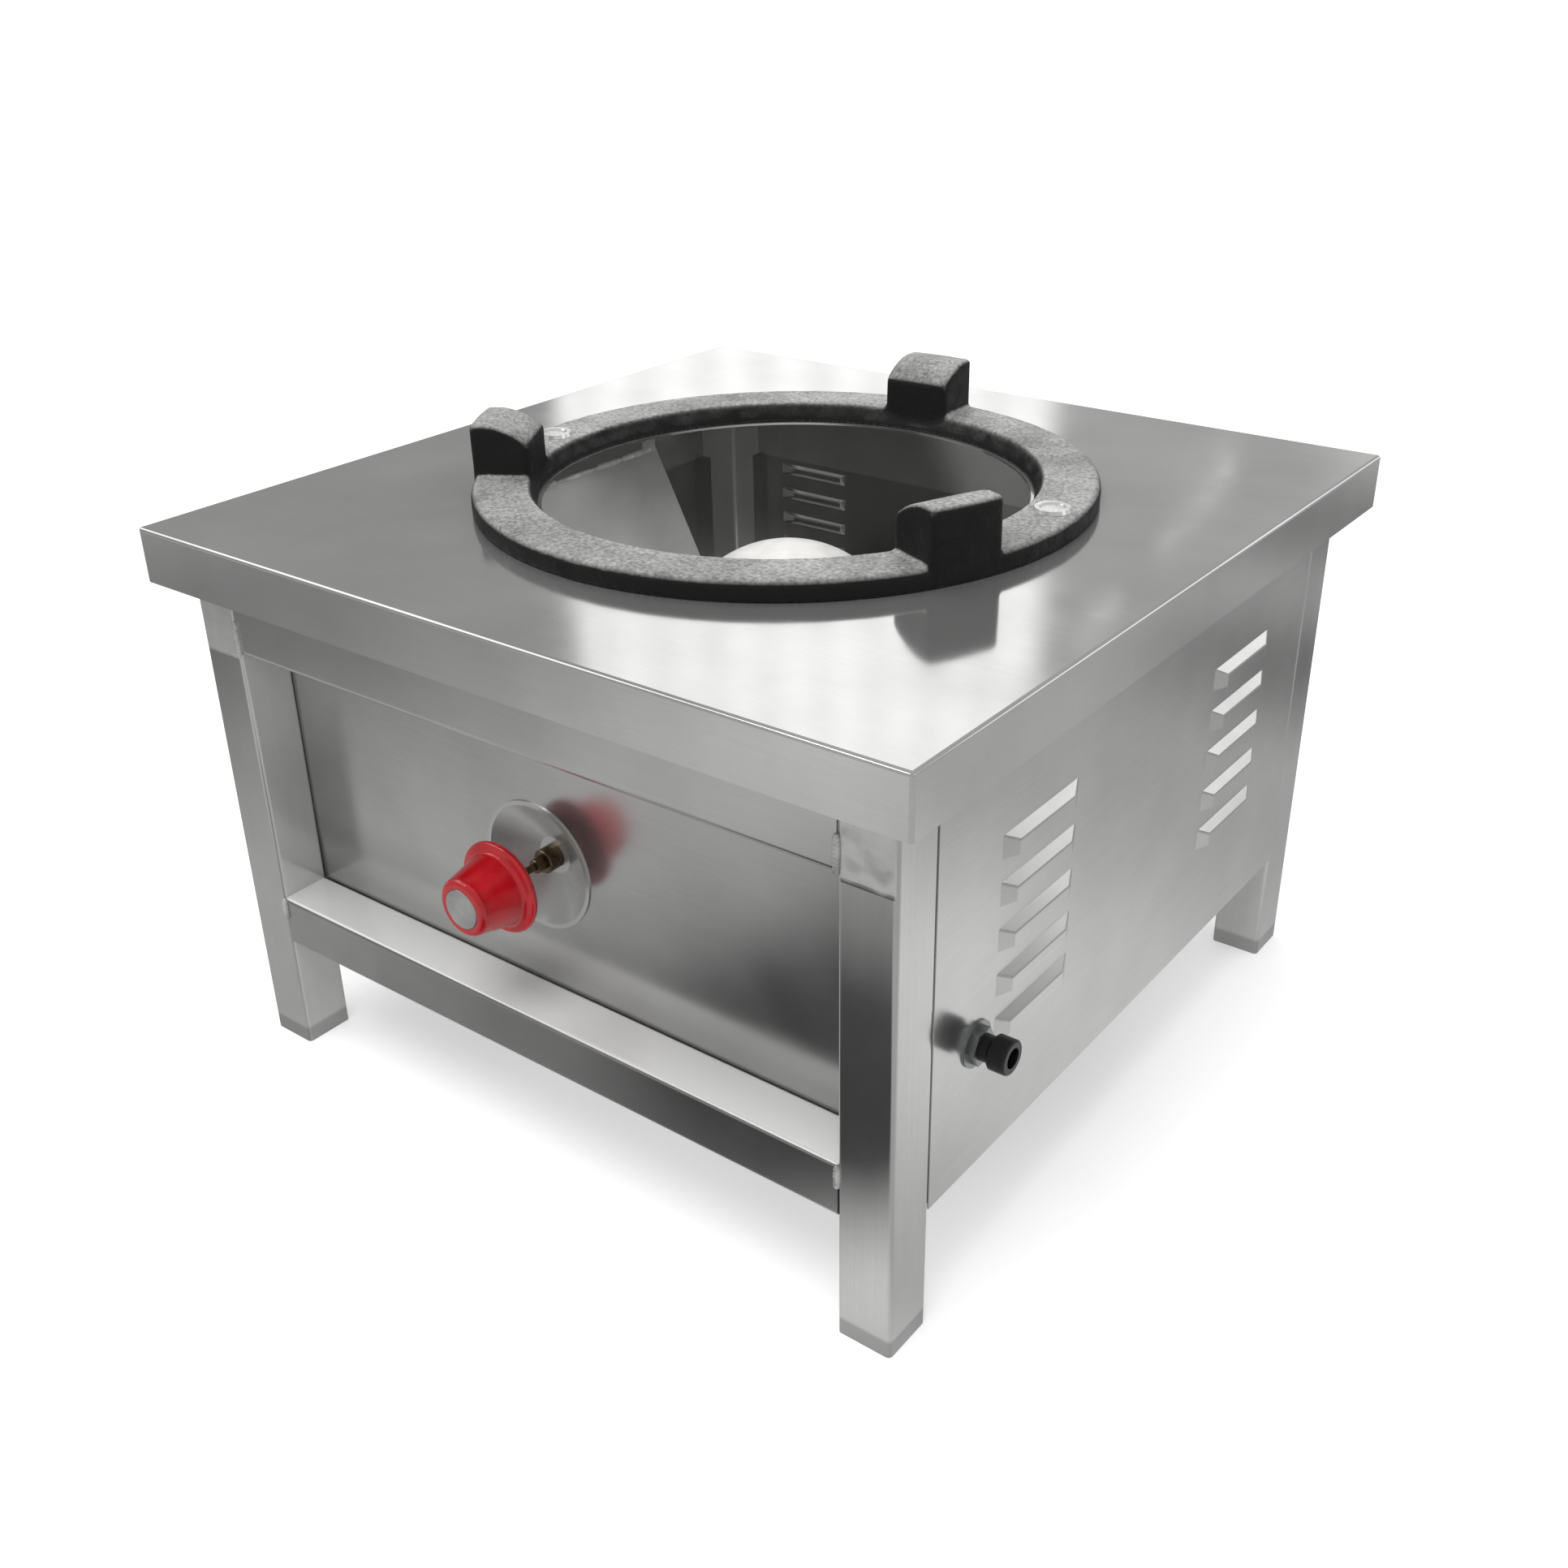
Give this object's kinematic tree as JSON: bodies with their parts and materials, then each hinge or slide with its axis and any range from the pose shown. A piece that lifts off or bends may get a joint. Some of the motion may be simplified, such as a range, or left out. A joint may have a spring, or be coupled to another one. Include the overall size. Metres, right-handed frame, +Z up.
{
  "type": "stock pot range",
  "caption": "Low square stainless gas range for one large stock pot, with a cast pan ring, a domed burner, a push-and-turn knob and louvred sides.",
  "frame": {"origin": "on the floor under the middle of the deck", "axes": "+X right along the knob side, +Y from the knob side to the back, +Z up"},
  "size_m": [0.6136, 0.6186, 0.453],
  "materials": {
    "stainless": "satin sheet and tube with fine brush lines",
    "cast_ring": "sand cast, worn grey on top, dark on the sides",
    "burner_iron": "sand cast, dull",
    "cap_metal": "pale cast dome",
    "brass": "machined, slightly tarnished",
    "copper_tube": "drawn tube, dull",
    "zinc_steel": "zinc plated",
    "black_fitting": "black coated fitting",
    "knob_red": "moulded, glossy",
    "knob_silver": "bare spun disc",
    "dish_metal": "polished dish"
  },
  "bodies": {
    "root": {"top_deck": "stainless", "leg_front_left": "stainless", "leg_front_right": "stainless", "leg_rear_left": "stainless", "leg_rear_right": "stainless", "foot_plates": "stainless", "top_rail_front": "stainless", "top_rail_right": "stainless", "top_rail_rear": "stainless", "top_rail_left": "stainless", "bottom_rail_front": "stainless", "bottom_rail_right": "stainless", "bottom_rail_rear": "stainless", "bottom_rail_left": "stainless", "front_panel": "stainless", "right_panel": "stainless", "rear_panel": "stainless", "left_panel": "stainless", "left_deflector": "stainless", "right_deflector": "stainless", "burner_support_bars": "stainless", "pan_ring": "cast_ring", "ring_fixings": "zinc_steel", "ring_nuts": "zinc_steel", "burner_bolts": "zinc_steel", "burner_nuts": "zinc_steel", "supply_pipe": "zinc_steel", "pipe_coupling": "zinc_steel", "pipe_elbow": "zinc_steel", "inlet_washer": "zinc_steel", "inlet_locknuts": "zinc_steel", "return_spring": "zinc_steel", "burner_bowl": "burner_iron", "burner_body": "burner_iron", "mixing_tube": "burner_iron", "mouth_bridge": "burner_iron", "jet_holder": "brass", "gas_jet": "brass", "union_nuts": "brass", "hex_nipple": "brass", "valve_body": "brass", "gland_nut": "brass", "feed_tube": "copper_tube", "inlet_nozzle": "black_fitting", "escutcheon": "dish_metal"},
    "push_carrier": {"thrust_washer": "zinc_steel"},
    "control_knob": {"knob": "knob_red", "knob_disc": "knob_silver", "knob_grub_screw": "zinc_steel", "valve_spindle": "brass"},
    "plug": {"valve_plug": "brass"},
    "air_control": {"air_shutter": "zinc_steel"},
    "cap": {"burner_cap": "cap_metal", "flame_ring": "cap_metal"}
  },
  "joints": [
    {"name": "knob_push", "type": "slide", "parent": "root", "child": "push_carrier", "axis": [0, 1, 0], "range_m": [0, 0.003], "stiffness_N_per_m": 900, "springref_m": -0.002, "deforming": ["return_spring"]},
    {"name": "knob_turn", "type": "hinge", "parent": "push_carrier", "child": "control_knob", "pos_m": [-0.0165, -0.29, 0.217], "axis": [0, -1, 0], "range_deg": [0, 180]},
    {"name": "plug_turn", "type": "hinge", "parent": "root", "child": "plug", "pos_m": [-0.0165, -0.2, 0.217], "axis": [0, -1, 0], "range_deg": [0, 180]},
    {"name": "air_shutter_turn", "type": "hinge", "parent": "root", "child": "air_control", "pos_m": [0, -0.1045, 0.217], "axis": [0, 1, 0], "range_deg": [0, 45]},
    {"name": "burner_cap_lift", "type": "slide", "parent": "root", "child": "cap", "axis": [0, 0, 1], "range_m": [0, 0.06]}
  ],
  "couplings": [
    {"joint": "plug_turn", "follows": "knob_turn", "ratio": 1}
  ]
}
